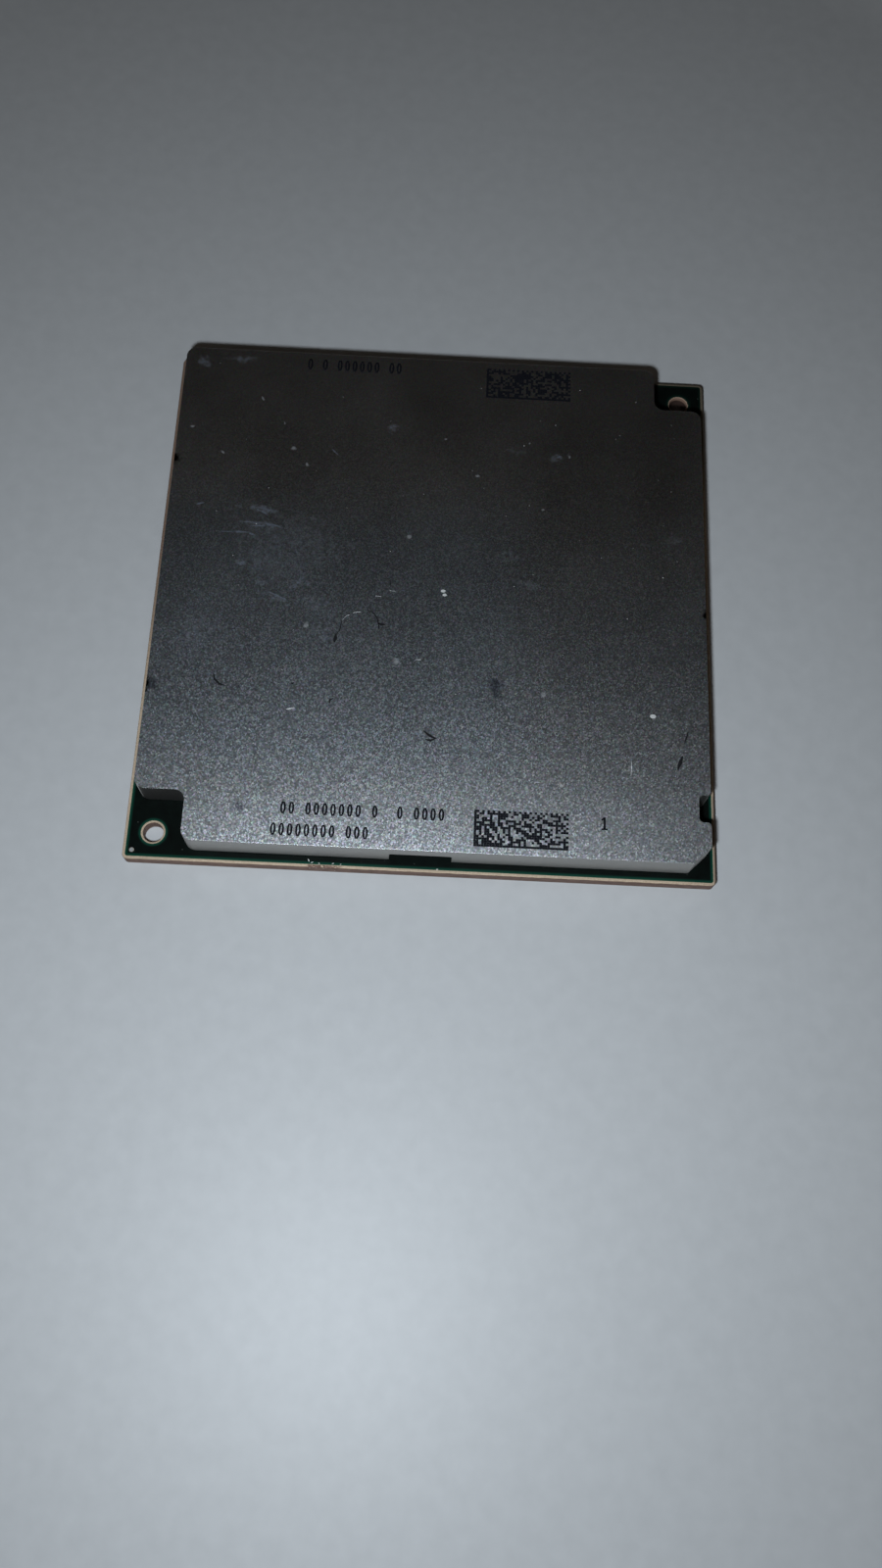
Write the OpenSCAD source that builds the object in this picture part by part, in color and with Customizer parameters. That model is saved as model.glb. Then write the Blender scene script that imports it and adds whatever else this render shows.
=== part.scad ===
// Lidded single-chip processor module: a flip-chip die on a square organic laminate with a land
// grid underneath, under a nickel-plated copper lid. The origin is the centre of the underside.
// The front (-Y) has the vent slot, and the chamfered lid corner is at the front right.

/* [Laminate] */
// Side of the square laminate
laminate_w = 50; // [48:0.5:56]
// Thickness of the bare laminate
laminate_t = 1.25; // [0.8:0.05:2]
// Radius of the laminate's corners
laminate_corner_r = 0.45; // [0.35:0.05:0.8]

/* [Guide holes] */
// Diameter of the two drilled guide holes
guide_d = 1.7; // [1.2:0.1:2]
// Distance from each guide hole's centre to the two edges beside it
guide_inset = 2.4; // [2:0.1:3]

/* [Solder mask] */
// Thickness of each coat of solder mask
mask_t = 0.03; // [0.025:0.005:0.05]
// Bare margin between the mask and the laminate's edge
mask_margin = 0.25; // [0.1:0.05:0.3]
// Bare ring left by the mask round each guide hole
mask_ring = 0.18; // [0.1:0.02:0.3]
// Diameter of the fiducial pad beside the front-left guide hole
fiducial_d = 0.37; // [0.25:0.01:0.45]
// Distance from the fiducial's centre to the two edges beside it
fiducial_inset = 0.78; // [0.65:0.01:0.9]
// Gap between the fiducial and the mask round it
fiducial_gap = 0.02; // [0.01:0.01:0.05]

/* [Lands] */
// Least width of the mask's border round the land grid
land_border = 1.85; // [1.2:0.05:4]
// Pitch of the land grid
land_pitch = 1.27; // [1:0.01:1.27]
// Diameter of each land
land_d = 0.75; // [0.5:0.05:0.8]
// Thickness of each land
land_t = 0.02; // [0.01:0.005:0.025]
// Bare ring left by the mask round each guide hole on the land side
land_ring = 0.8; // [0.5:0.1:1]
// Least width of the mask between that ring and the land grid
land_keepout = 0.3; // [0.2:0.1:0.8]

/* [Lid] */
// Distance from the laminate's edge to the lid's side
lid_margin = 0.95; // [0.6:0.05:1.1]
// Height of the lid from its seal to its top
lid_h = 2.95; // [2.6:0.05:4]
// Radius of the lid's plain corner and of the corners at the guide holes
lid_corner_r = 0.9; // [0.6:0.05:1.2]
// Distance from each guide hole's centre to the notch walls beside it
notch_reach = 2.85; // [2.4:0.05:3.2]
// Length of the chamfered corner along each edge
chamfer_l = 1.5; // [1:0.1:2]
// Length of the notch in the right edge
edge_notch_l = 2.33; // [1.8:0.01:2.8]
// Depth of the notch in the right edge
edge_notch_d = 1; // [0.8:0.05:1.2]
// Distance from the lid's front side to the middle of the edge notch
edge_notch_y = 4.8; // [4:0.1:8]
// Radius of the edge notch's four corners
edge_notch_r = 0.35; // [0.2:0.05:0.4]

/* [Lid underside] */
// Width of the skirt that stands on the seal
skirt_w = 3; // [2.6:0.1:3.4]
// Depth of the channel inside the skirt
channel_d = 1.6; // [1.55:0.05:1.8]
// Radius of the channel's corners
channel_r = 1; // [0.5:0.1:1.5]
// Width of the vent slot in the front skirt
vent_w = 5.25; // [4:0.25:8]
// Height of the vent slot
vent_h = 1.52; // [1.2:0.02:1.54]
// Radius of the vent slot's upper corners
vent_r = 0.3; // [0.1:0.05:0.5]
// How far the pedestal reaches past the die on each side
pedestal_over = 2; // [1:0.25:2.5]

/* [Seal] */
// Thickness of the adhesive seal
seal_t = 0.14; // [0.1:0.01:0.2]
// Distance from the edge notch to the seal
seal_setback = 0.3; // [0.2:0.05:0.4]
// Distance from the seal to the channel
seal_inner_gap = 0.3; // [0.2:0.05:0.4]
// Gap left in the seal on each side of the vent slot
seal_vent_gap = 0.5; // [0.3:0.1:1]

/* [Die] */
// Width of the die
die_x = 26; // [18:0.5:27]
// Depth of the die
die_y = 25; // [18:0.5:27]
// Thickness of the die
die_t = 0.78; // [0.7:0.01:0.8]
// Gap under the die that the solder bumps and underfill take up
bump_gap = 0.07; // [0.05:0.01:0.1]
// Width of the underfill's fillet round the die
fillet_w = 0.8; // [0.4:0.1:1]
// Height of the underfill's fillet on the die's side
fillet_h = 0.5; // [0.3:0.05:0.6]
// Thickness of the thermal interface on the die
tim_t = 0.1; // [0.05:0.01:0.15]
// Distance from the thermal interface to the die's edges
tim_inset = 0.25; // [0:0.05:0.5]

/* [Capacitors] */
// Length of a capacitor over its terminals
cap_l = 1.6; // [1:0.1:1.8]
// Width of a capacitor
cap_w = 0.8; // [0.5:0.05:0.9]
// Height of a capacitor over its terminals
cap_h = 0.7; // [0.4:0.05:0.9]
// Length of each terminal
terminal_l = 0.35; // [0.2:0.05:0.4]
// How far a terminal stands out from the body
terminal_wrap = 0.03; // [0.02:0.01:0.05]
// Pitch of the capacitors along a row
cap_pitch = 3.6; // [2.4:0.1:4]
// Distance between the two rows on each side of the die
cap_row_gap = 2; // [1.4:0.1:2.2]

/* [Hidden] */
$fn = 64;
// Overshoot of a cutter past the face it opens
cut = 1;
// Heights of the stack
board_z = mask_t;
board_top = board_z + laminate_t;
mask_top = board_top + mask_t;
lid_z = mask_top + seal_t;
lid_top = lid_z + lid_h;
die_z = mask_top + bump_gap;
die_top = die_z + die_t;
pedestal_z = die_top + tim_t;
// Half widths, from the centre
board_half = laminate_w / 2;
mask_half = board_half - mask_margin;
guide_c = board_half - guide_inset;
lid_half = board_half - lid_margin;
notch_half = guide_c - notch_reach;
channel_half = lid_half - skirt_w;
channel_step = notch_half - skirt_w;
seal_out = edge_notch_d + seal_setback;
seal_in = skirt_w - seal_inner_gap;
land_n = floor(2 * (mask_half - land_border) / land_pitch);
window_half = land_n / 2 * land_pitch;
keep_half = guide_c - guide_d / 2 - land_ring - land_keepout;
window_step = window_half - ceil((window_half - keep_half) / land_pitch) * land_pitch;
pedestal_x = die_x + 2 * pedestal_over;
pedestal_y = die_y + 2 * pedestal_over;

// Whether a land would lie in the mask kept round a guide hole
function at_guide(x, y) = x * y > 0 && min(abs(x), abs(y)) > window_step;

// The waste between a square corner at the origin, pointing to -X -Y, and its arc
module corner_waste(r) {
    difference() {
        square(r);
        translate([r, r]) circle(r);
    }
}

// The same waste with a rim outside the corner, for cutting
module corner_cutter(r) {
    difference() {
        translate([-cut, -cut]) square(r + cut);
        translate([r, r]) circle(r);
    }
}

// A square with one radius at its four corners
module rounded_square(half, r) {
    difference() {
        square(2 * half, center = true);
        for (turn = [0:90:270])
            rotate(turn) translate([-half, -half]) corner_cutter(r);
    }
}

// A square stepped in at its front-left and back-right corners, with one radius at every corner
module stepped_square(half, step, r) {
    difference() {
        square(2 * half, center = true);
        for (turn = [0, 180]) rotate(turn) {
            difference() {
                translate([-half - cut, -half - cut]) square(half - step + cut);
                translate([-step, -step]) rotate(180) corner_waste(r);
            }
            translate([-half, -step]) corner_cutter(r);
            translate([-step, -half]) corner_cutter(r);
            translate([-half, half]) rotate(-90) corner_cutter(r);
        }
    }
}

// The notch in the lid's right edge, round at its inner and outer corners
module edge_notch() {
    middle = edge_notch_y - lid_half;
    difference() {
        translate([lid_half - edge_notch_d, middle - edge_notch_l / 2])
            square([edge_notch_d + cut, edge_notch_l]);
        for (side = [0, 1])
            translate([lid_half - edge_notch_d, middle]) mirror([0, side])
                translate([0, -edge_notch_l / 2]) corner_waste(edge_notch_r);
    }
    for (side = [0, 1])
        translate([lid_half, middle]) mirror([0, side])
            translate([0, edge_notch_l / 2]) rotate(90) corner_cutter(edge_notch_r);
}

// Outline of the lid from above
module lid_outline() {
    difference() {
        stepped_square(lid_half, notch_half, lid_corner_r);
        translate([lid_half, -lid_half]) rotate(45) square(chamfer_l * sqrt(2), center = true);
        edge_notch();
    }
}

// Profile of the vent slot, standing on the X axis
module vent_profile() {
    difference() {
        translate([-vent_w / 2, -cut]) square([vent_w, vent_h + cut]);
        for (side = [0, 1])
            mirror([side, 0]) translate([-vent_w / 2, vent_h]) rotate(-90) corner_waste(vent_r);
    }
}

module guide_holes(d, z, h) {
    for (side = [-1, 1])
        translate([side * guide_c, side * guide_c, z]) cylinder(d = d, h = h);
}

module laminate() {
    color("tan") difference() {
        translate([0, 0, board_z]) linear_extrude(laminate_t) rounded_square(board_half, laminate_corner_r);
        guide_holes(guide_d, board_z - cut, laminate_t + 2 * cut);
    }
}

module top_solder_mask() {
    color("darkgreen") difference() {
        translate([0, 0, board_top]) linear_extrude(mask_t)
            rounded_square(mask_half, laminate_corner_r - mask_margin);
        guide_holes(guide_d + 2 * mask_ring, board_top - cut, mask_t + 2 * cut);
        translate([fiducial_inset - board_half, fiducial_inset - board_half, board_top - cut])
            cylinder(d = fiducial_d + 2 * fiducial_gap, h = mask_t + 2 * cut);
    }
}

// The mask's window for the land grid, square-cornered and stepped in at the guide holes
module land_window() {
    difference() {
        square(2 * window_half, center = true);
        for (turn = [0, 180])
            rotate(turn) translate([window_step, window_step]) square(window_half - window_step + cut);
    }
}

module bottom_solder_mask() {
    color("green") difference() {
        linear_extrude(mask_t) rounded_square(mask_half, laminate_corner_r - mask_margin);
        guide_holes(guide_d + 2 * land_ring, -cut, mask_t + 2 * cut);
        translate([0, 0, -cut]) linear_extrude(mask_t + 2 * cut) land_window();
    }
}

module fiducial_pad() {
    color("gainsboro") translate([fiducial_inset - board_half, fiducial_inset - board_half, board_top])
        cylinder(d = fiducial_d, h = mask_t);
}

module lands() {
    middle = (land_n - 1) / 2;
    color("gold") for (i = [0:land_n - 1], j = [0:land_n - 1]) {
        x = (i - middle) * land_pitch;
        y = (j - middle) * land_pitch;
        if (!at_guide(x, y))
            translate([x, y, board_z - land_t]) cylinder(d = land_d, h = land_t, $fn = 24);
    }
}

module lid() {
    color("silver") difference() {
        translate([0, 0, lid_z]) linear_extrude(lid_h) lid_outline();
        difference() {
            translate([0, 0, lid_z - cut]) linear_extrude(channel_d + cut)
                stepped_square(channel_half, channel_step, channel_r);
            translate([-pedestal_x / 2, -pedestal_y / 2, pedestal_z])
                cube([pedestal_x, pedestal_y, lid_top - pedestal_z]);
        }
        translate([0, -channel_half + cut, lid_z]) rotate([90, 0, 0])
            linear_extrude(skirt_w + 2 * cut) vent_profile();
    }
}

module lid_seal() {
    color("dimgray") translate([0, 0, mask_top]) linear_extrude(seal_t) difference() {
        stepped_square(lid_half - seal_out, notch_half - seal_out, lid_corner_r);
        stepped_square(lid_half - seal_in, notch_half - seal_in, channel_r);
        translate([-vent_w / 2 - seal_vent_gap, -lid_half])
            square([vent_w + 2 * seal_vent_gap, skirt_w + cut]);
    }
}

module die() {
    color("slategray") translate([-die_x / 2, -die_y / 2, die_z]) cube([die_x, die_y, die_t]);
}

// One straight run of the underfill's fillet, leaning on a wall at the origin along X
module fillet_run(length) {
    rotate([90, 0, 90]) translate([0, 0, -length / 2]) linear_extrude(length)
        polygon([[0, 0], [fillet_w, 0], [0, bump_gap + fillet_h]]);
}

module underfill() {
    color("saddlebrown") translate([0, 0, mask_top]) difference() {
        union() {
            translate([-die_x / 2, -die_y / 2, 0]) cube([die_x, die_y, bump_gap]);
            for (side = [0, 180]) rotate(side) {
                translate([0, die_y / 2, 0]) fillet_run(die_x);
                translate([-die_x / 2, 0, 0]) rotate(90) fillet_run(die_y);
            }
            for (x = [-1, 1], y = [-1, 1])
                translate([x * die_x / 2, y * die_y / 2, 0])
                    cylinder(r1 = fillet_w, r2 = 0, h = bump_gap + fillet_h);
        }
        translate([-die_x / 2, -die_y / 2, bump_gap]) cube([die_x, die_y, die_t]);
    }
}

module thermal_interface() {
    color("lightgray") translate([tim_inset - die_x / 2, tim_inset - die_y / 2, die_top])
        cube([die_x - 2 * tim_inset, die_y - 2 * tim_inset, tim_t]);
}

// Puts its child at every capacitor place, with the capacitor's length along X
module at_capacitors() {
    for (turn = [0:90:270]) {
        along = turn % 180 == 0 ? pedestal_x : pedestal_y;
        across = turn % 180 == 0 ? pedestal_y : pedestal_x;
        count = floor((along - cap_l) / cap_pitch) + 1;
        row_y = (across / 2 + channel_half) / 2;
        for (i = [0:count - 1], row = [-0.5, 0.5])
            rotate(turn) translate([(i - (count - 1) / 2) * cap_pitch, row_y + row * cap_row_gap, mask_top])
                children();
    }
}

module capacitor_bodies() {
    color("peru") at_capacitors()
        translate([terminal_l - cap_l / 2, terminal_wrap - cap_w / 2, terminal_wrap])
            cube([cap_l - 2 * terminal_l, cap_w - 2 * terminal_wrap, cap_h - 2 * terminal_wrap]);
}

module capacitor_terminals() {
    color("gainsboro") at_capacitors() for (end = [0, 1])
        mirror([end, 0, 0]) translate([-cap_l / 2, -cap_w / 2, 0]) cube([terminal_l, cap_w, cap_h]);
}

laminate();
top_solder_mask();
bottom_solder_mask();
fiducial_pad();
lands();
lid();
lid_seal();
die();
underfill();
thermal_interface();
capacitor_bodies();
capacitor_terminals();
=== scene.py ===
# %% [markdown]
# A lidded processor module, dressed around its CAD solids
# The module is a square laminate that carries a bare chip under a nickel-plated copper lid. Every form
# with a size of its own is a CAD solid already, in metres, so this lesson adds what a CAD model leaves
# out: finishes, laser marks, wear, dirt, light and a camera. It never moves or resizes a CAD solid, so the
# picture stays true to the real part.

import math

import bmesh
import bpy
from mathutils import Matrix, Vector


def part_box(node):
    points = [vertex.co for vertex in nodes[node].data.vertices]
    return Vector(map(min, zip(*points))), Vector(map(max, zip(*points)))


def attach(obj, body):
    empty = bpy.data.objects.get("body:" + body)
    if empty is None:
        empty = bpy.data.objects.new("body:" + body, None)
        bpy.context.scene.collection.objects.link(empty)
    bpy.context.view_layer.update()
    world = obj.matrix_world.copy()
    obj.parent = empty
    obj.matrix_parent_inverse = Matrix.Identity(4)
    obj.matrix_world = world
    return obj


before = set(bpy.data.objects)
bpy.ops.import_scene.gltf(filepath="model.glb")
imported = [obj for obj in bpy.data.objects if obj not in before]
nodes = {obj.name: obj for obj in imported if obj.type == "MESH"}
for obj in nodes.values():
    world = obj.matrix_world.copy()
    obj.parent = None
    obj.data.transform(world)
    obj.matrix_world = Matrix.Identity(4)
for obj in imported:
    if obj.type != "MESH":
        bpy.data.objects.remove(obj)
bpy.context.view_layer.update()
scene = bpy.context.scene
MM = 0.001
print("CAD solids:", ", ".join(sorted(nodes)))

# %% [markdown]
# Sizes to follow
# A finish has to know where the lid's top, the laminate's edge and the mask's edge are. They could be
# typed in again, but then they would go stale when the CAD changes, so they are measured on the solids.

# %% Measure the stack
lid_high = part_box("lid")[1]
board_low, board_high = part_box("laminate")
mask_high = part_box("top_solder_mask")[1]
lands_low, lands_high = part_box("lands")
LID_TOP = lid_high.z
board_width = board_high.x - board_low.x
print("lid top", round(LID_TOP / MM, 3), "mm; laminate", round(board_width / MM, 2), "mm wide")

# %% [markdown]
# The camera
# The module lies on a table and is seen from above its front edge, a hand's width away. The camera's place
# could be found by eye, but here it was solved from edges of known size, so it is plain numbers. Blender's
# sensor width goes with the longer side of the picture, which is the upright one.

# %% Place the camera
PICTURE_HEIGHT = 1600
FOCAL_PIXELS = 1372.3
CAMERA_PLACE = Vector((0.088, -55.71, 110.129)) * MM
CAMERA_TURN = (19.499, -1.566, 2.363)
camera_data = bpy.data.cameras.new("camera")
camera_data.sensor_width = 36
camera_data.lens = FOCAL_PIXELS * camera_data.sensor_width / PICTURE_HEIGHT
camera_data.clip_start = MM
camera = bpy.data.objects.new("camera", camera_data)
camera.location = CAMERA_PLACE
camera.rotation_euler = [math.radians(angle) for angle in CAMERA_TURN]
scene.collection.objects.link(camera)
scene.camera = camera
print("camera lens", round(camera_data.lens, 2), "mm at", [round(v / MM, 1) for v in camera.location])

# %% [markdown]
# Helpers for node trees
# Finishes, the sky and the repeated pieces are all made of nodes. Wiring them one line at a time is long,
# so one helper adds a node, sets its options, and fills each input with a value or a link. Short ones on
# top of it do sums on numbers and vectors, soft steps, and mixes of colours.

# %% Helpers for sums
def add(tree, kind, inputs=None, **settings):
    """Adds one node to a tree and fills its inputs, by name or number, with values or sockets."""
    made = tree.nodes.new(kind)
    for name, value in settings.items():
        setattr(made, name, value)
    for key, value in (inputs or {}).items():
        if isinstance(value, bpy.types.NodeSocket):
            tree.links.new(value, made.inputs[key])
        else:
            made.inputs[key].default_value = value
    return made


def calc(tree, operation, a, b=0.0, clamp=False):
    """One sum on two numbers."""
    return add(tree, "ShaderNodeMath", {0: a, 1: b}, operation=operation, use_clamp=clamp).outputs[0]


def times(tree, *factors):
    """The product of several numbers or masks."""
    product = factors[0]
    for factor in factors[1:]:
        product = calc(tree, "MULTIPLY", product, factor)
    return product


def largest(tree, *values):
    """The largest of several numbers or masks."""
    most = values[0]
    for value in values[1:]:
        most = calc(tree, "MAXIMUM", most, value)
    return most


def vector_calc(tree, operation, a, b=None):
    """One sum on vectors, which gives a vector, or a number where it measures a length."""
    inputs = {0: a}
    if b is not None:
        inputs["Scale" if operation == "SCALE" else 1] = b
    made = add(tree, "ShaderNodeVectorMath", inputs, operation=operation)
    measures = operation in ("LENGTH", "DISTANCE", "DOT_PRODUCT")
    return made.outputs["Value" if measures else "Vector"]


def split(tree, vector):
    """The X, Y and Z of a vector."""
    return add(tree, "ShaderNodeSeparateXYZ", {0: vector}).outputs


def ramp(tree, value, low, high, start=0.0, end=1.0):
    """Goes smoothly from start to end while value goes from low to high."""
    values = {0: value, 1: low, 2: high, 3: start, 4: end}
    return add(tree, "ShaderNodeMapRange", values, interpolation_type="SMOOTHSTEP").outputs[0]


print("helpers for sums: add, calc, times, largest, vector_calc, split, ramp")

# %% Helpers for colours
def opaque(colour):
    """Red, green and blue as a full colour, or a colour socket as it is."""
    return (*colour, 1) if isinstance(colour, tuple) else colour


def blend(tree, factor, a, b):
    """A colour between a and b."""
    values = {0: factor, 6: opaque(a), 7: opaque(b)}
    return add(tree, "ShaderNodeMix", values, data_type="RGBA").outputs[2]


def paint(tree, base, *coats):
    """Lays colours over a base one after the other, each where its own mask says."""
    for mask, colour in coats:
        base = blend(tree, mask, base, colour)
    return base


def between(tree, factor, a, b):
    """A number between a and b."""
    return add(tree, "ShaderNodeMix", {0: factor, 2: a, 3: b}).outputs[0]


print("helpers for colours: opaque, blend, paint, between")

# %% [markdown]
# Light
# One soft lamp stands just left of the lens and a little nearer than it. On a grainy metal lid such a lamp
# gives the whole look: the front of the lid, where it almost mirrors the lamp, is bright, and the back
# falls off to near black. Big soft boxes would light it evenly and lose that. The sky is dim, dark beyond
# the module and paler behind the camera, so that the lid has a dark room to mirror while its sides are
# filled. Only the camera, and mirrors that look along the table, see it pale. Below the table it is
# bright, which lights the land side when that is looked at.

# %% Set the lamp
LAMP_PLACE = Vector((-9.5, -65, 102)) * MM
lamp_data = bpy.data.lights.new("lamp", "AREA")
lamp_data.shape = "DISK"
lamp_data.size = 8 * MM
lamp_data.energy = 0.0905
lamp_data.color = (0.905, 1.0, 1.085)
lamp = bpy.data.objects.new("lamp", lamp_data)
lamp.location = LAMP_PLACE
lamp.rotation_euler = (-LAMP_PLACE).to_track_quat("-Z", "Y").to_euler()
scene.collection.objects.link(lamp)
print("lamp of", lamp_data.energy, "W,", round(lamp_data.size / MM), "mm across")

# %% Set the sky
PALE_SKY = 0.45
DARK_ROOM = 0.005
ROOM_FILL = 0.08
LIGHT_BELOW = 0.5
PALE_TINT = (0.93, 0.97, 1.0)
ROOM_TINT = (1.0, 0.86, 0.72)
world = bpy.data.worlds.new("sky")
world.use_nodes = True
scene.world = world
scene.view_settings.view_transform = "Standard"
sky = world.node_tree
sky.nodes.clear()
towards = split(sky, add(sky, "ShaderNodeTexCoord").outputs["Generated"])
behind_camera = ramp(sky, towards["Y"], 0.3, -0.8, DARK_ROOM, ROOM_FILL)
below_table = ramp(sky, towards["Z"], -0.02, -0.2, 0.0, LIGHT_BELOW)
ray = add(sky, "ShaderNodeLightPath").outputs
mirrored = times(sky, ray["Is Glossy Ray"], ramp(sky, towards["Z"], 0.12, 0.02))
seen = largest(sky, ray["Is Camera Ray"], mirrored)
strength = between(sky, seen, largest(sky, behind_camera, below_table), PALE_SKY)
tint = blend(sky, seen, ROOM_TINT, PALE_TINT)
glow = add(sky, "ShaderNodeBackground", {"Color": tint, "Strength": strength})
add(sky, "ShaderNodeOutputWorld", {"Surface": glow.outputs[0]})
print("sky strength", PALE_SKY, "where it is seen")

# %% [markdown]
# Shared effects
# Blasted metal, mask, laminate and epoxy all have a grain, worn edges or dust, only at other sizes. An
# effect that several finishes share is a node group, built once and given its own numbers in each finish.

# %% Helpers for shared effects
def effect(name, inputs):
    """Starts a shader group with one output, and returns its tree, inputs and output."""
    tree = bpy.data.node_groups.new(name, "ShaderNodeTree")
    for label, value in inputs.items():
        socket = tree.interface.new_socket(label, in_out="INPUT", socket_type="NodeSocketFloat")
        socket.default_value = value
    tree.interface.new_socket("Result", in_out="OUTPUT", socket_type="NodeSocketFloat")
    return tree, add(tree, "NodeGroupInput").outputs, add(tree, "NodeGroupOutput").inputs["Result"]


def own_place(tree):
    """The piece's own coordinates, in metres."""
    return add(tree, "ShaderNodeTexCoord").outputs["Object"]


def normal_of(tree):
    """The way the surface faces."""
    return add(tree, "ShaderNodeNewGeometry").outputs["Normal"]


def noise_of(tree, size):
    """Cloudy noise on the piece's own coordinates, with blobs of about that size."""
    scale = calc(tree, "DIVIDE", 1.0, size)
    values = {"Vector": own_place(tree), "Scale": scale, "Detail": 2.0}
    return add(tree, "ShaderNodeTexNoise", values).outputs[0]


print("helpers for effects: effect, own_place, normal_of, noise_of")

# %% Grain, worn edges and dust
grain, given, out = effect("grain", {"Size": 0.1 * MM, "Contrast": 2.0})
off_middle = calc(grain, "SUBTRACT", noise_of(grain, given["Size"]), 0.5)
grain.links.new(calc(grain, "ADD", times(grain, off_middle, given["Contrast"]), 0.5, True), out)

worn, given, out = effect("worn_edges", {"Reach": 0.1 * MM, "Ragged": 0.5 * MM})
rounded = add(worn, "ShaderNodeBevel", {"Radius": given["Reach"]}, samples=6).outputs[0]
edge = ramp(worn, vector_calc(worn, "DOT_PRODUCT", rounded, normal_of(worn)), 0.995, 0.85)
broken = ramp(worn, noise_of(worn, given["Ragged"]), 0.35, 0.6)
worn.links.new(times(worn, edge, broken), out)

dust, given, out = effect("dust", {"Spacing": 1.0 * MM, "Share": 0.3, "Dot": 0.1})
scale = calc(dust, "DIVIDE", 1.0, given["Spacing"])
spots = add(dust, "ShaderNodeTexVoronoi", {"Vector": own_place(dust), "Scale": scale}).outputs
kept = calc(dust, "LESS_THAN", split(dust, spots["Color"])["X"], given["Share"])
round_dot = ramp(dust, spots["Distance"], given["Dot"], times(dust, given["Dot"], 0.5))
dust.links.new(times(dust, kept, round_dot), out)
print("shared effects:", ", ".join(group.name for group in (grain, worn, dust)))

# %% Helpers for finishes
def shared(tree, group, **values):
    """Places a shared effect in a finish with its own numbers, and returns its result."""
    return add(tree, "ShaderNodeGroup", values, node_tree=group).outputs["Result"]


def finish(name, **constants):
    """Starts a finish, and returns its material, tree and shader with the constant values set."""
    material = bpy.data.materials.new(name)
    material.use_nodes = True
    shader = material.node_tree.nodes["Principled BSDF"]
    for label, value in constants.items():
        shader.inputs[label.replace("_", " ")].default_value = value
    return material, material.node_tree, shader


def wire(tree, shader, **sockets):
    """Links varying colours, values and normals to a shader's inputs."""
    for label, socket in sockets.items():
        tree.links.new(socket, shader.inputs[label.replace("_", " ")])


def relief(tree, shader, height, distance, strength=1.0, **base):
    """Bumps a surface by a height, on top of a base normal if one is given."""
    values = {"Strength": strength, "Distance": distance, "Height": height, **base}
    wire(tree, shader, Normal=add(tree, "ShaderNodeBump", values).outputs[0])


print("helpers for finishes: shared, finish, wire, relief")

# %% [markdown]
# Places on the board
# The board is square, and two of its corners, front left and back right, have a guide hole that the lid is
# cut away for. The laminate's dirt and painted shade, the mask and the table all follow these, and so do
# some repeated pieces. A painted mask would have to be drawn for each, so the distances are worked out from
# coordinates by a few sums that all of them share.

# %% Helpers for places
GUIDE = 22.6 * MM
CORNER_FADE_STARTS = 34 * MM
CORNER_FADE_FULL = 44 * MM


def from_hole(tree, place, side):
    """How far a place is, seen from above, from the axis of the back (1) or the front (-1) guide hole."""
    flat_place = vector_calc(tree, "MULTIPLY", place, (1, 1, 0))
    return vector_calc(tree, "DISTANCE", flat_place, (side * GUIDE, side * GUIDE, 0))


def square_reach(tree, place):
    """How far out a place is from the middle, along the longer of its two directions."""
    spread = split(tree, vector_calc(tree, "ABSOLUTE", place))
    return largest(tree, spread["X"], spread["Y"])


def over_corner(tree, place, reach):
    """1 further out than reach both ways, at a corner with a guide hole, and 0 elsewhere."""
    at = split(tree, place)
    spread = split(tree, vector_calc(tree, "ABSOLUTE", place))
    outside = calc(tree, "GREATER_THAN", calc(tree, "MINIMUM", spread["X"], spread["Y"]), reach)
    return times(tree, outside, calc(tree, "GREATER_THAN", times(tree, at["X"], at["Y"]), 0.0))


def back_right(tree, place):
    """A mask that rises to 1 at the back right corner, where X and Y add up to most."""
    at = split(tree, place)
    return ramp(tree, calc(tree, "ADD", at["X"], at["Y"]), CORNER_FADE_STARTS, CORNER_FADE_FULL)


print("guide holes", GUIDE / MM, "mm from the middle, both ways")

# %% [markdown]
# The table
# A pale plastic table top, plain apart from a faint mottle. It is a big flat sheet just under the module.
# The lamp fades a hand's width away, so further out the sheet glows for the camera and for mirrors, and
# meets the sky without a line. Seen from below, and where the module covers it, the sheet is clear, so that
# the land side can be looked at and lit. Under the two guide holes it stays solid, because it shows through
# them, and under the back one it has a disc of painted shadow.

# %% Lay the table
FLOOR_HALF = 1.5
FLOOR_LEVEL = -0.005 * MM
corners = [(-1, -1), (1, -1), (1, 1), (-1, 1)]
sheet = bpy.data.meshes.new("table")
sheet.from_pydata([(x * FLOOR_HALF, y * FLOOR_HALF, FLOOR_LEVEL) for x, y in corners], [], [(0, 1, 2, 3)])
table = bpy.data.objects.new("table", sheet)
scene.collection.objects.link(table)
print("table", 2 * FLOOR_HALF, "m wide")

# %% Finish the table
TABLE_DARK = (0.55, 0.555, 0.56)
TABLE_PALE = (0.60, 0.605, 0.61)
TABLE_SHADE = (0.08, 0.055, 0.045)
SHADE_RADIUS = 1.4 * MM
SHOWN_RADIUS = 1.3 * MM
COVERED = board_high.x - 0.5 * MM
GLOW_STARTS, GLOW_FULL = 83 * MM, 150 * MM
plastic, tree, shader = finish("pale_table", Roughness=0.45, Specular_IOR_Level=0.4,
                               Emission_Color=opaque(PALE_TINT))
place = own_place(tree)
back_hole = from_hole(tree, place, 1)
front_hole = from_hole(tree, place, -1)
tone = blend(tree, shared(tree, grain, Size=1.5 * MM, Contrast=1.5), TABLE_DARK, TABLE_PALE)
# Painted shadow: a dark disc on the table under the back guide hole, seen through the hole.
tone = blend(tree, calc(tree, "LESS_THAN", back_hole, SHADE_RADIUS), tone, TABLE_SHADE)
ray = add(tree, "ShaderNodeLightPath").outputs
seen = largest(tree, ray["Is Camera Ray"], ray["Is Glossy Ray"])
past_lamp = ramp(tree, vector_calc(tree, "LENGTH", place), GLOW_STARTS, GLOW_FULL, 0.0, PALE_SKY)
wire(tree, shader, Base_Color=tone, Emission_Strength=times(tree, seen, past_lamp))
under = calc(tree, "LESS_THAN", square_reach(tree, place), COVERED)
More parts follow.
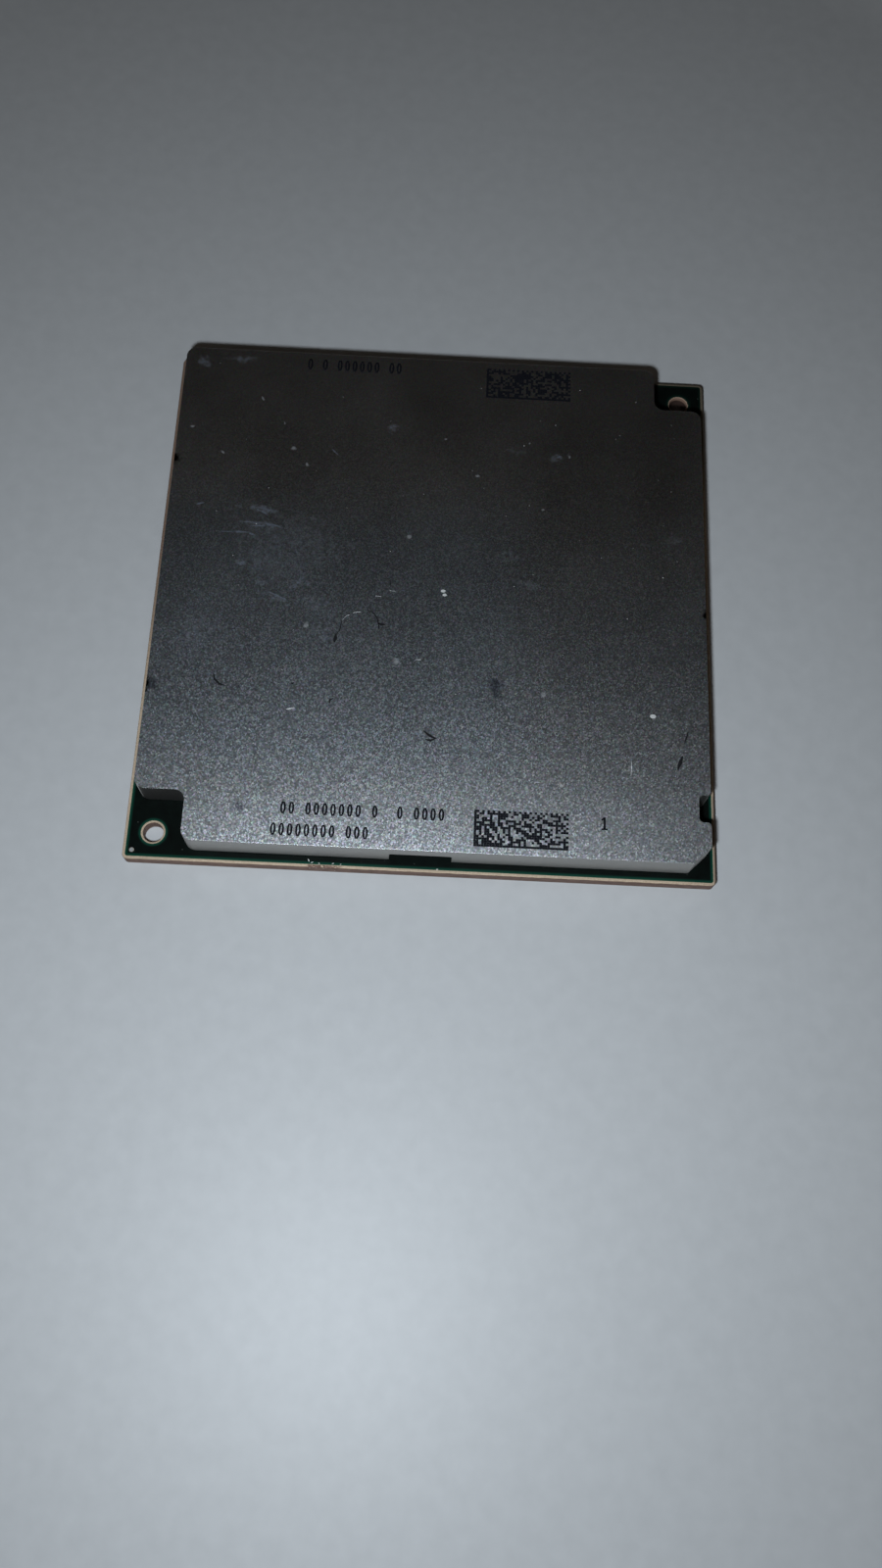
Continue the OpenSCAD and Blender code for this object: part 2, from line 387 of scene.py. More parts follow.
off_holes = calc(tree, "GREATER_THAN", calc(tree, "MINIMUM", back_hole, front_hole), SHOWN_RADIUS)
from_below = add(tree, "ShaderNodeNewGeometry").outputs["Backfacing"]
clear = largest(tree, times(tree, under, off_holes), from_below)
through = add(tree, "ShaderNodeBsdfTransparent").outputs[0]
surface = add(tree, "ShaderNodeMixShader", {0: clear, 1: shader.outputs[0], 2: through}).outputs[0]
tree.links.new(surface, tree.nodes["Material Output"].inputs["Surface"])
sheet.materials.append(plastic)
print("table finish:", plastic.name)

# %% [markdown]
# The lid's blasted nickel
# The lid is stamped copper with nickel plate. Its top was blasted with fine beads, which leaves dimples of
# about a tenth of a millimetre, and its sides stayed smooth. A noise bump would look like plastic. A cell
# texture gives each dimple numbers of its own by chance instead, which tint it a little here and lean it
# below. How far the surface faces up decides whether it is top or side. The plate's tone is not even: the
# middle of the top is bluer. Light is painted in as well: the back of the top is painted a shade darker and
# warmer, and the right side has painted shade at the back and a painted sheen at the front.

# %% Blast the lid
DIMPLE = 0.11 * MM
FRONT_NICKEL = (0.512, 0.528, 0.547)
SHADED_BACK_NICKEL = (0.518, 0.489, 0.462)
BLUE_NICKEL = (0.495, 0.555, 0.62)
SHEEN_NICKEL = (0.589, 0.607, 0.629)
SIDE_NICKEL = (0.47, 0.467, 0.457)
NO_LIGHT = (0, 0, 0)
TINT_SHARE = 0.14
nickel, tree, shader = finish("blasted_nickel")
place = own_place(tree)
along = split(tree, place)
facing = split(tree, normal_of(tree))["Z"]
top = ramp(tree, facing, 0.4, 0.9)
cells = add(tree, "ShaderNodeTexVoronoi", {"Vector": place, "Scale": 1 / DIMPLE}).outputs
tint = add(tree, "ShaderNodeTexWhiteNoise", {"Vector": cells["Position"]}).outputs["Color"]
rightward = ramp(tree, along["X"], 2 * MM, 14 * MM)
middle = times(tree, ramp(tree, along["Y"], -20 * MM, -14 * MM), ramp(tree, along["Y"], 12 * MM, 3 * MM))
bluer = times(tree, middle, ramp(tree, rightward, 0, 1, 0.55, 0))
# Painted shade: the right side of the top is darkened a little towards black, from its middle to its back.
painted_shade_right = times(tree, rightward, ramp(tree, along["Y"], -14 * MM, -4 * MM, 0, 0.15))
# Painted sheen: the front right of the top is painted paler, where the highlight spreads.
painted_sheen_right = times(tree, rightward, ramp(tree, along["Y"], -14 * MM, -21 * MM))
# Painted shade: the top goes a little darker and warmer towards the back, where it mirrors the dim warm room.
blasted = blend(tree, ramp(tree, along["Y"], -8 * MM, 14 * MM), FRONT_NICKEL, SHADED_BACK_NICKEL)
blasted = paint(tree, blasted, (bluer, BLUE_NICKEL), (painted_shade_right, NO_LIGHT), (painted_sheen_right, SHEEN_NICKEL))
metal = blend(tree, top, SIDE_NICKEL, blasted)
metal = blend(tree, times(tree, top, TINT_SHARE), metal, tint)
print("dimples", DIMPLE / MM, "mm wide")

# %% [markdown]
# Marks on the lid
# Years in use left bluish rub marks, pale dots, dark stains, and dark nicks on the edges. Painting them on
# a picture would be easiest, but a picture can't follow the part, so each mark is a soft oval at a
# measured place, with a rim broken up by noise: its middle, half length and half width in millimetres, and
# its turn in degrees.

# %% Where the marks are
RUBS = [(-15.4, 7.1, 1.6, 0.45, -10), (-15.3, 5.55, 2.2, 0.45, -5), (-17.0, 1.66, 0.9, 0.4, -20),
        (-15.8, 1.3, 0.8, 0.5, 0), (-12.1, -0.35, 1.2, 0.45, 45), (-11.5, 0.7, 0.7, 0.35, 75),
        (-11.1, -0.2, 0.45, 0.3, 60), (-15.0, -0.2, 0.6, 0.5, 0), (-13.9, -1.5, 1.3, 0.4, -23),
        (-17.8, 7.3, 0.4, 0.25, 0), (-22.3, 22.4, 1.0, 0.6, -40), (-18.6, 23.0, 1.5, 0.5, 0),
        (-4.4, 16.3, 0.8, 0.6, 0), (10.6, 13.9, 1.2, 0.5, 20)]
HAZES = [(-13.0, 3.0, 6.0, 5.0, -15), (-10.1, -2.1, 2.4, 1.3, -20), (-9.2, -4.8, 2.6, 1.2, 0),
         (8.7, 0.8, 1.4, 0.6, -5), (21.3, 6.0, 1.0, 0.9, 0), (6.6, 3.6, 1.4, 0.8, 10),
         (7.2, 14.6, 1.2, 0.6, 0), (-20.0, -5.0, 3.0, 4.0, 10)]
STREAKS = [(-15.34, 7.13, 1.3, 0.12, -12), (-15.73, 6.9, 0.8, 0.11, -26), (-14.34, 5.52, 1.3, 0.12, -15),
           (-16.39, 5.73, 1.5, 0.11, -2), (-15.8, 5.4, 1.2, 0.10, 4), (-14.9, 5.6, 0.5, 0.20, -5),
           (-17.24, 4.71, 0.9, 0.16, -3), (-18.8, 4.67, 1.0, 0.09, 1), (-16.4, 4.57, 0.4, 0.11, -22),
           (-13.8, -1.34, 1.3, 0.10, -23), (-13.2, -1.62, 0.6, 0.14, -22), (-21.17, 7.41, 0.6, 0.13, 17),
           (-9.5, 13.4, 0.9, 0.06, -45), (10.9, 14.1, 0.5, 0.14, 30)]
DOTS = [(-10.89, -4.18, 0.42, 0.38, 0), (-2.94, -7.25, 0.31, 0.28, 0), (-2.35, 5.09, 0.34, 0.30, 0),
        (9.87, -9.63, 0.34, 0.30, 0), (-13.32, 13.63, 0.26, 0.22, 0), (-12.0, 11.99, 0.32, 0.16, -70),
        (-22.73, 15.38, 0.18, 0.16, 0), (-16.55, 18.76, 0.32, 0.12, -65), (-14.35, 16.24, 0.30, 0.10, -70),
        (-19.7, 12.82, 0.24, 0.12, -50), (0.49, 15.39, 0.20, 0.16, 0), (8.21, 15.4, 0.20, 0.12, 60),
        (11.89, 14.14, 0.20, 0.12, 80), (3.54, 11.67, 0.20, 0.14, 0), (9.58, 8.5, 0.16, 0.12, 0)]
STAINS = [(5.72, -9.1, 0.75, 1.35, 15), (5.75, -9.8, 0.4, 0.5, 0), (-23.7, -10.25, 0.8, 0.8, 0),
          (-15.22, -21.0, 0.5, 0.6, 0), (-15.22, -20.9, 0.35, 0.35, 0), (-16.15, -10.26, 0.3, 0.3, 0)]
NICKS = [(-24.05, 11.97, 0.7, 0.8, 0), (-24.05, -10.3, 0.5, 0.8, 0), (24.05, -1.26, 0.45, 0.6, 0)]
print(len(RUBS + HAZES + STREAKS), "rubs,", len(DOTS), "dots and", len(STAINS + NICKS), "dark marks")

# %% [markdown]
# Laying the marks
# A mark changes the metal in two ways: it tints it, and a film of dirt on it makes it less of a mirror. A
# tint alone would be lost where the lid mirrors the lamp, so the film also takes away some of the metal's
# share of the shading.

# %% Mark the lid
STAIN_TONE = (0.11, 0.12, 0.17)
RUB_TONE = (0.40, 0.45, 0.56)
DOT_TONE = (0.55, 0.56, 0.58)
RUB_SHARE, HAZE_SHARE, STAIN_SHARE = 0.9, 0.38, 0.68
RUB_FILM, CLOUD_FILM, DOT_FILM, SPECK_FILM = 0.19, 0.03, 0.30, 0.15


def marks_at(tree, place, marks, ragged):
    """A mask that is 1 in the middle of each oval mark and fades to 0 at its rim."""
    mask = 0.0
    for x, y, long, wide, turn in marks:
        away = vector_calc(tree, "SUBTRACT", place, (x * MM, y * MM, LID_TOP))
        unturned = {"Vector": away, "Angle": math.radians(-turn)}
        away = add(tree, "ShaderNodeVectorRotate", unturned, rotation_type="Z_AXIS").outputs[0]
        away = vector_calc(tree, "DIVIDE", away, (long * MM, wide * MM, wide * MM))
        away = times(tree, vector_calc(tree, "LENGTH", away), ragged)
        mask = largest(tree, ramp(tree, away, 1.0, 0.25), mask)
    return mask


ragged = calc(tree, "ADD", shared(tree, grain, Size=0.6 * MM, Contrast=2.5), 0.55)
wisps = shared(tree, grain, Size=0.35 * MM, Contrast=3.0)
rub = times(tree, marks_at(tree, place, RUBS, ragged), wisps, RUB_SHARE)
haze = times(tree, marks_at(tree, place, HAZES, ragged), wisps, HAZE_SHARE)
rub = largest(tree, rub, haze, marks_at(tree, place, STREAKS, ragged))
dot, stain, nick = [marks_at(tree, place, marks, ragged) for marks in (DOTS, STAINS, NICKS)]
specks = shared(tree, dust, Spacing=1.6 * MM, Share=0.10, Dot=0.06)
clouds = shared(tree, grain, Size=7 * MM, Contrast=2.0)
stain = times(tree, stain, STAIN_SHARE)
metal = paint(tree, metal, (stain, STAIN_TONE), (rub, RUB_TONE), (dot, DOT_TONE))
film = calc(tree, "ADD", times(tree, rub, RUB_FILM), times(tree, clouds, CLOUD_FILM))
film = largest(tree, film, times(tree, dot, DOT_FILM), times(tree, specks, SPECK_FILM))
print("lid nodes so far:", len(tree.nodes))

# %% [markdown]
# Sides and grain
# The lid's sides are plain nickel, but the walls of the two cut corners and of the notch in the right edge
# face the dark mask and get painted shade. The top is not quite flat: stamping leaves it bowed by a hair from
# front to back, far too little to see as a shape, but enough to change where it mirrors the lamp, so only the
# shading is bent. Each dimple leans by chance, by up to six degrees to each side, which sparkles near the
# highlight and fades in the dark.

# %% Paint shade on the corner walls
CORNER = 19.6 * MM
NOTCH_INNER = 23.0 * MM
NOTCH_MIDDLE = -19.25 * MM
NOTCH_HALF = 1.45 * MM
EDGE_TONE = (0.80, 0.80, 0.79)
WALL_SHADE = (0.06, 0.06, 0.058)
NICK_TONE = (0.006, 0.006, 0.005)
WALL_SHADE_SHARE, EDGE_SHARE = 0.9, 0.25
SIDE_ROUGH, TOP_ROUGH, EDGE_ROUGH = 0.62, 0.365, 0.42
beside = calc(tree, "ABSOLUTE", calc(tree, "SUBTRACT", along["Y"], NOTCH_MIDDLE))
notch = calc(tree, "LESS_THAN", beside, NOTCH_HALF)
notch = times(tree, notch, calc(tree, "GREATER_THAN", along["X"], NOTCH_INNER))
walls = largest(tree, over_corner(tree, place, CORNER), notch)
# Painted shade: the corner and notch walls are darkened where they face the dark mask.
wall_shade = times(tree, walls, ramp(tree, facing, 0.99, 0.9), WALL_SHADE_SHARE)
edges = shared(tree, worn, Reach=0.05 * MM, Ragged=0.25 * MM)
bare = times(tree, edges, EDGE_SHARE)
metal = paint(tree, metal, (bare, EDGE_TONE), (wall_shade, WALL_SHADE), (nick, NICK_TONE))
gloss = between(tree, edges, between(tree, top, SIDE_ROUGH, TOP_ROUGH), EDGE_ROUGH)
wire(tree, shader, Base_Color=metal, Metallic=calc(tree, "SUBTRACT", 1.0, film), Roughness=gloss)
print("cut corners start", CORNER / MM, "mm from the middle")

# %% Bend the light
BOW = 0.10
LEAN = 0.21
FRONT_LEAN = 0.68
bow = vector_calc(tree, "MULTIPLY", place, (0, BOW / lid_high.y, 0))
lean = vector_calc(tree, "SUBTRACT", cells["Color"], (0.5, 0.5, 0.5))
lean = vector_calc(tree, "MULTIPLY", lean, (LEAN, LEAN, 0))
lean = vector_calc(tree, "SCALE", lean, ramp(tree, along["Y"], -22 * MM, -9 * MM, FRONT_LEAN, 1.0))
bent = vector_calc(tree, "SCALE", vector_calc(tree, "ADD", bow, lean), top)
bent = vector_calc(tree, "ADD", normal_of(tree), bent)
bent = vector_calc(tree, "NORMALIZE", bent)
relief(tree, shader, shared(tree, grain, Size=0.5 * MM, Contrast=2.0), 0.004 * MM, 0.5, Normal=bent)
print("lid top bowed by", round(math.degrees(BOW), 1), "degrees at its edges, in shading alone")

# %% [markdown]
# The lid's edges
# A stamped edge is never quite sharp: it has a tiny round that catches the lamp as a thin bright line. The
# CAD solid stays sharp, and a Bevel modifier rounds it here. A CAD mesh is loose triangles, so a Weld
# modifier joins them first and a Decimate modifier merges those that lie flat. A small node tree then
# drops the normals that came with the CAD mesh, which would bend the light on the new faces.

# %% Helpers for CAD solids
WELD_GAP = 0.0005 * MM
plain = bpy.data.node_groups.new("plain_normals", "GeometryNodeTree")
plain.interface.new_socket("Mesh", in_out="INPUT", socket_type="NodeSocketGeometry")
plain.interface.new_socket("Mesh", in_out="OUTPUT", socket_type="NodeSocketGeometry")
incoming = add(plain, "NodeGroupInput").outputs["Mesh"]
faceted = add(plain, "GeometryNodeSetMeshNormal",
              {"Mesh": incoming, "Remove Custom": True, "Face Sharpness": True}).outputs[0]
add(plain, "NodeGroupOutput", {"Mesh": faceted})


def coat(name, material):
    """Gives a CAD solid its finish."""
    nodes[name].data.materials.clear()
    nodes[name].data.materials.append(material)


def sew(name, **lighter):
    """Joins a CAD solid's triangles, and takes away spare faces and its normals, by modifiers alone."""
    modifiers = nodes[name].modifiers
    modifiers.new("weld", "WELD").merge_threshold = WELD_GAP
    decimate = modifiers.new("lighten", "DECIMATE")
    for setting, value in lighter.items():
        setattr(decimate, setting, value)
    modifiers.new("plain", "NODES").node_group = plain


def ease(name, width):
    """Rounds a CAD solid's sharp edges a little, by modifiers alone."""
    sew(name, decimate_type="DISSOLVE", angle_limit=math.radians(0.5))
    bevel = nodes[name].modifiers.new("ease", "BEVEL")
    bevel.width = width
    bevel.segments = 2
    bevel.limit_method = "ANGLE"
    bevel.use_clamp_overlap = False
    bevel.angle_limit = math.radians(40)
    print(name, "edges eased by", round(width / MM, 3), "mm")


print("helpers for CAD solids: coat, sew, ease")

# %% Round the edges of lid and laminate
ease("lid", 0.025 * MM)
ease("laminate", 0.10 * MM)
coat("lid", nickel)

# %% [markdown]
# Solder mask
# A thin lacquer over the laminate, so dark that it looks black, and green only where it thins out at its
# own edge and round the guide holes. Painting the green by hand would need a picture, so the distance to
# those edges is worked out from the coordinates. The mask is dull, with a faint waviness and some dust.

# %% Coat both sides with mask
MASK_EDGE = mask_high.x
RING = 1.03 * MM
CORNER_GREEN = 0.15
MASK_BLACK = (0.002, 0.003, 0.0025)
MASK_DARK = (0.003, 0.006, 0.005)
MASK_GREEN = (0.006, 0.055, 0.035)
MASK_DUST = (0.09, 0.10, 0.09)
lacquer, tree, shader = finish("solder_mask", Roughness=0.5, Specular_IOR_Level=0.06)
place = own_place(tree)
thin = ramp(tree, square_reach(tree, place), MASK_EDGE - 0.32 * MM, MASK_EDGE - 0.03 * MM)
for side in (-1, 1):
    away = from_hole(tree, place, side)
    thin = largest(tree, thin, ramp(tree, away, RING + 0.3 * MM, RING + 0.02 * MM))
# Less green towards the back right corner, for its dirt and painted shade.
thin = times(tree, thin, between(tree, back_right(tree, place), 1.0, CORNER_GREEN))
flecks = shared(tree, dust, Spacing=0.5 * MM, Share=0.10, Dot=0.10)
tone = blend(tree, shared(tree, grain, Size=0.8 * MM, Contrast=2.0), MASK_BLACK, MASK_DARK)
wire(tree, shader, Base_Color=paint(tree, tone, (thin, MASK_GREEN), (flecks, MASK_DUST)))
relief(tree, shader, shared(tree, grain, Size=0.3 * MM, Contrast=2.0), 0.003 * MM, 0.4)
coat("top_solder_mask", lacquer)
coat("bottom_solder_mask", lacquer)
print("mask edge at", round(MASK_EDGE / MM, 2), "mm from the middle")

# %% [markdown]
# Laminate
# Glass cloth and epoxy. Its bare margin is pale tan, and its cut edge shows the layers: pale resin above
# and a brown core below, sawn rough. They could be modelled as a stack of thin sheets, but a noise
# stretched flat draws them with no extra faces. On the front edge the top layer is chipped away for about
# three millimetres, and there the brown core shows through.

# %% Saw the laminate
CHIP_START = -9.5 * MM
CHIP_END = -6.4 * MM
LAYER_WAVE = 0.12 * MM
FRONT_BAND = 0.2 * MM
LAYER_STRETCH = (0.15, 0.15, 1.6)
LAYER_SCALE = 9000
SKIN_DARK, SKIN_PALE = (0.45, 0.335, 0.235), (0.58, 0.455, 0.33)
CORE_DARK, CORE_PALE = (0.13, 0.072, 0.053), (0.24, 0.15, 0.115)
SCUFF_TONE = (0.80, 0.78, 0.74)
board, tree, shader = finish("laminate", Roughness=0.62, Specular_IOR_Level=0.3)
place = own_place(tree)
across = split(tree, place)
facing = split(tree, normal_of(tree))["Z"]
squashed = vector_calc(tree, "MULTIPLY", place, LAYER_STRETCH)
layers = add(tree, "ShaderNodeTexNoise",
             {"Vector": squashed, "Scale": LAYER_SCALE, "Detail": 3}).outputs[0]
fibres = shared(tree, grain, Size=0.12 * MM, Contrast=2.5)
skin = blend(tree, fibres, SKIN_DARK, SKIN_PALE)
core = blend(tree, ramp(tree, layers, 0.35, 0.65), CORE_DARK, CORE_PALE)
chip_span = times(tree, ramp(tree, across["X"], CHIP_START, CHIP_START + 0.2 * MM),
                  ramp(tree, across["X"], CHIP_END, CHIP_END - 0.6 * MM))
front = calc(tree, "LESS_THAN", across["Y"], board_low.y + FRONT_BAND)
torn = ramp(tree, shared(tree, grain, Size=0.25 * MM, Contrast=2.0), 0.25, 0.5)
chip = times(tree, chip_span, torn, front)
height = calc(tree, "ADD", across["Z"], times(tree, layers, LAYER_WAVE))
resin = ramp(tree, height, board_high.z - 0.02 * MM, board_high.z + 0.03 * MM)
outer = largest(tree, resin, ramp(tree, facing, 0.8, 0.95))
scuffs = times(tree, chip_span, shared(tree, dust, Spacing=0.3 * MM, Share=0.35, Dot=0.22), front)
tone = blend(tree, times(tree, outer, calc(tree, "SUBTRACT", 1.0, chip)), core, skin)
tone = blend(tree, scuffs, tone, SCUFF_TONE)
relief(tree, shader, calc(tree, "ADD", layers, times(tree, chip, -1.5)), 0.03 * MM, 0.6)
print("chip from", round(CHIP_START / MM, 1), "to", round(CHIP_END / MM, 1), "mm along the front edge")

# %% [markdown]
# Dirt and shade on the laminate
# The back right corner is darker, with dirt and with painted shade where its rim rounds away, and the back of
# the left margin is dark with dirt. The front of the right margin has painted shade along its outer edge. The
# ring at the back guide hole is pinker and narrower than the front one, and its bore has painted shade lower
# down. One even layer would miss all this, so each place has its own mask and tone.

# %% Soil and shade the laminate
CORNER_DIRT_AND_SHADE = (0.055, 0.052, 0.036)
PINK_RESIN = (0.36, 0.23, 0.17)
RING_RIM = (0.012, 0.03, 0.02)
BORE_SHADE = (0.06, 0.035, 0.028)
RIGHT_EDGE_SHADE = (0.12, 0.085, 0.065)
LEFT_GRIME = (0.13, 0.07, 0.05)
BORE_RADIUS, RIM_INNER, RIM_OUTER, RING_RADIUS = 0.88 * MM, 0.90 * MM, 0.97 * MM, 1.2 * MM
RIGHT_SHADE_INNER, RIGHT_SHADE_OUTER = board_high.x - 0.20 * MM, board_high.x - 0.14 * MM
CORNER_SHARE, PINK_SHARE, RIGHT_SHADE_SHARE, LEFT_SHARE = 0.85, 0.75, 0.75, 0.8
corner = back_right(tree, place)
hole = from_hole(tree, place, 1)
ring = calc(tree, "LESS_THAN", hole, RING_RADIUS)
# Dirt and painted shade: the back right corner is darkened, off the guide hole's ring.
off_ring = times(tree, corner, between(tree, ring, CORNER_SHARE, 0.0))
on_ring = times(tree, corner, ring)
pink = times(tree, on_ring, PINK_SHARE)
ring_rim = times(tree, on_ring, ramp(tree, hole, RIM_INNER, RIM_OUTER))
low_down = ramp(tree, across["Z"], board_high.z - 0.3 * MM, board_high.z - 0.5 * MM)
# Painted shade: the bore of the back guide hole is darkened lower down.
bore_shade = times(tree, corner, calc(tree, "LESS_THAN", hole, BORE_RADIUS), low_down)
# Painted shade: a dark strip along the outer edge of the right margin, at its front.
right_edge_shade = times(tree, ramp(tree, across["X"], RIGHT_SHADE_INNER, RIGHT_SHADE_OUTER, 0, RIGHT_SHADE_SHARE),
             ramp(tree, across["Y"], -16.5 * MM, -17.5 * MM))
left_margin = times(tree, ramp(tree, across["X"], -24 * MM, -24.6 * MM),
                    ramp(tree, across["Y"], -14 * MM, 6 * MM), LEFT_SHARE)
tone = paint(tree, tone, (off_ring, CORNER_DIRT_AND_SHADE), (pink, PINK_RESIN), (ring_rim, RING_RIM))
tone = paint(tree, tone, (bore_shade, BORE_SHADE), (right_edge_shade, RIGHT_EDGE_SHADE), (left_margin, LEFT_GRIME))
wire(tree, shader, Base_Color=tone)
coat("laminate", board)
print("laminate nodes:", len(tree.nodes))

# %% [markdown]
# Finishes of the small and hidden pieces
# Under the lid lie the die, its underfill, a grey thermal gel and rows of capacitors, and a bead of black
# adhesive holds the lid. Nobody sees them on a whole module, but each still gets its own grain, tone and
# roughness, so that a cut-away looks right too. The tinned dot by the front guide hole is finished as the
# capacitors' ends are. The finishes differ only in numbers, so one loop makes them all: dark tone, pale
# tone, metallic share, roughness, size of the grain in millimetres, and the pieces.

# %% Coat the small and hidden pieces
PLAIN = {
    "silicone_seal": ((0.012, 0.012, 0.012), (0.03, 0.03, 0.03), 0.0, 0.75, 0.2, ["lid_seal"]),
    "dull_tin": ((0.50, 0.50, 0.48), (0.72, 0.72, 0.70), 0.85, 0.45, 0.08,
                 ["fiducial_pad", "capacitor_terminals"]),
    "polished_silicon": ((0.16, 0.17, 0.20), (0.24, 0.25, 0.28), 0.6, 0.18, 2.0, ["die"]),
    "filled_epoxy": ((0.06, 0.04, 0.03), (0.14, 0.10, 0.07), 0.0, 0.35, 0.3, ["underfill"]),
    "thermal_gel": ((0.52, 0.52, 0.53), (0.66, 0.66, 0.67), 0.0, 0.6, 0.15, ["thermal_interface"]),
    "fired_ceramic": ((0.34, 0.24, 0.15), (0.50, 0.38, 0.26), 0.0, 0.5, 0.2, ["capacitor_bodies"]),
}
EDGE_LIFT = 1.25
EDGE_WEAR = 0.5
ROUGH_SPREAD = 0.15
for name, (dark, pale, metallic, rough, size, pieces) in PLAIN.items():
    material, tree, shader = finish(name, Metallic=metallic)
    speckle = shared(tree, grain, Size=size * MM, Contrast=2.5)
    edges = shared(tree, worn, Reach=0.03 * MM, Ragged=0.3 * MM)
    edge_tone = tuple(min(1.0, EDGE_LIFT * part) for part in pale)
    tone = blend(tree, times(tree, edges, EDGE_WEAR), blend(tree, speckle, dark, pale), edge_tone)
    least, most = (1 - ROUGH_SPREAD) * rough, min(1.0, (1 + ROUGH_SPREAD) * rough)
    wire(tree, shader, Base_Color=tone, Roughness=between(tree, speckle, least, most))
    relief(tree, shader, speckle, 0.01 * MM, 0.3)
    for piece in pieces:
        coat(piece, material)
print("plain finishes:", ", ".join(PLAIN))

# %% [markdown]
# Gold lands
# The underside is a grid of gold-plated lands, each with a small wiped mark where a spring contact once
# pressed. All lands are one node, so each one's own tone comes from the number of its grid square, and the
# mark is drawn from the place inside that square. Over a thousand round lands make a heavy mesh, so a
# Decimate modifier takes a tenth of its faces away, evenly enough that the lands stay round.

# %% Plate the lands
LAND_COUNT = 36
LAND_PITCH = 1.27 * MM
LAND_WIDTH = 0.75 * MM
GOLD_DARK, GOLD_PALE = (0.74, 0.54, 0.22), (0.86, 0.66, 0.31)
WIPE_TONE = (0.42, 0.34, 0.24)
WIPE_SHARE = 0.55
WIPE_HALF_WIDTH, WIPE_HALF_LENGTH = 0.05, 0.11
WIPE_LOW, WIPE_HIGH = 0.52, 0.60
FACES_KEPT = 0.9
gold, tree, shader = finish("gold_plate", Metallic=1.0)
squares = vector_calc(tree, "SCALE", own_place(tree), 1 / LAND_PITCH)
number = vector_calc(tree, "MULTIPLY", vector_calc(tree, "FLOOR", squares), (1, 1, 0))
inside = split(tree, vector_calc(tree, "FRACTION", squares))
lot = add(tree, "ShaderNodeTexWhiteNoise", {"Vector": number}).outputs["Value"]
aside = calc(tree, "SUBTRACT", inside["X"], 0.5)
aside = calc(tree, "DIVIDE", aside, WIPE_HALF_WIDTH)
ahead = calc(tree, "SUBTRACT", inside["Y"], between(tree, lot, WIPE_LOW, WIPE_HIGH))
ahead = calc(tree, "DIVIDE", ahead, WIPE_HALF_LENGTH)
wiped = ramp(tree, calc(tree, "ADD", times(tree, aside, aside), times(tree, ahead, ahead)), 1.0, 0.5)
speckle = shared(tree, grain, Size=0.05 * MM, Contrast=2.0)
tone = blend(tree, lot, GOLD_DARK, GOLD_PALE)
tone = blend(tree, times(tree, wiped, WIPE_SHARE), tone, WIPE_TONE)
wire(tree, shader, Base_Color=tone, Roughness=between(tree, speckle, 0.26, 0.38))
relief(tree, shader, calc(tree, "SUBTRACT", times(tree, speckle, 0.3), wiped), 0.006 * MM, 0.5)
coat("lands", gold)
sew("lands", ratio=FACES_KEPT)
measured = (lands_high.x - lands_low.x - LAND_WIDTH) / (LAND_COUNT - 1)
print("land pitch", round(LAND_PITCH / MM, 3), "mm, measured", round(measured / MM, 3), "mm")

# %% [markdown]
# Making repeated pieces with Geometry Nodes
# The mask's openings, the codes' squares, the noughts and the dust are each one small shape repeated by a
# rule. Copying objects in Python would work, but a node tree says the rule once, with named sizes and a
# seed. A short helper runs a tree and keeps its result as a plain mesh, because an export drops instances.

# %% Helpers that start, end and run a tree
def rule(name, inputs):
    """Starts a geometry tree with named inputs, and returns the tree and its inputs."""
    tree = bpy.data.node_groups.new(name, "GeometryNodeTree")
    for label, kind in inputs.items():
        tree.interface.new_socket(label, in_out="INPUT", socket_type="NodeSocket" + kind)
    tree.interface.new_socket("Mesh", in_out="OUTPUT", socket_type="NodeSocketGeometry")
    return tree, add(tree, "NodeGroupInput").outputs


def close(tree, geometry, material):
    """Ends a tree: real copies, their finish, and the output."""
    real = add(tree, "GeometryNodeRealizeInstances", {"Geometry": geometry}).outputs[0]
    coated = add(tree, "GeometryNodeSetMaterial", {"Geometry": real, "Material": material}).outputs[0]
    add(tree, "NodeGroupOutput", {"Mesh": coated})


def grow(name, tree, start=None, **values):
    """Runs a tree and returns its result as a plain mesh object."""
    made = bpy.data.objects.new(name, start or bpy.data.meshes.new(name))
    scene.collection.objects.link(made)
    modifier = made.modifiers.new("rule", "NODES")
    modifier.node_group = tree
    for item in tree.interface.items_tree:
        if item.in_out == "INPUT" and item.name in values:
            modifier[item.identifier] = values[item.name]
    graph = bpy.context.evaluated_depsgraph_get()
    mesh = bpy.data.meshes.new_from_object(made.evaluated_get(graph))
    made.modifiers.remove(modifier)
    made.data = mesh
    mesh.name = name
    print(name, len(mesh.polygons), "faces")
    return made


print("helpers for trees: rule, close, grow")

# %% Helpers for choices and chance
def compare(tree, operation, a, b):
    """Whether a is less or greater than b."""
    return add(tree, "FunctionNodeCompare", {0: a, 1: b}, operation=operation).outputs[0]


def logic(tree, operation, a, b=True):
    """And, or and not."""
    return add(tree, "FunctionNodeBooleanMath", {0: a, 1: b}, operation=operation).outputs[0]


def by_share(tree, share, seed):
    """Picks about that share of the points by chance."""
    values = {"Probability": share, "Seed": seed}
    return add(tree, "FunctionNodeRandomValue", values, data_type="BOOLEAN").outputs[3]


def by_chance(tree, low, high, seed):
    """A number for each point by chance."""
    values = {2: low, 3: high, "Seed": seed}
    return add(tree, "FunctionNodeRandomValue", values, data_type="FLOAT").outputs[1]


print("helpers for choices: compare, logic, by_share, by_chance")

# %% Helpers for points and shapes
def arrow(tree, **parts):
    """A vector from its X, Y and Z."""
    return add(tree, "ShaderNodeCombineXYZ", parts).outputs[0]


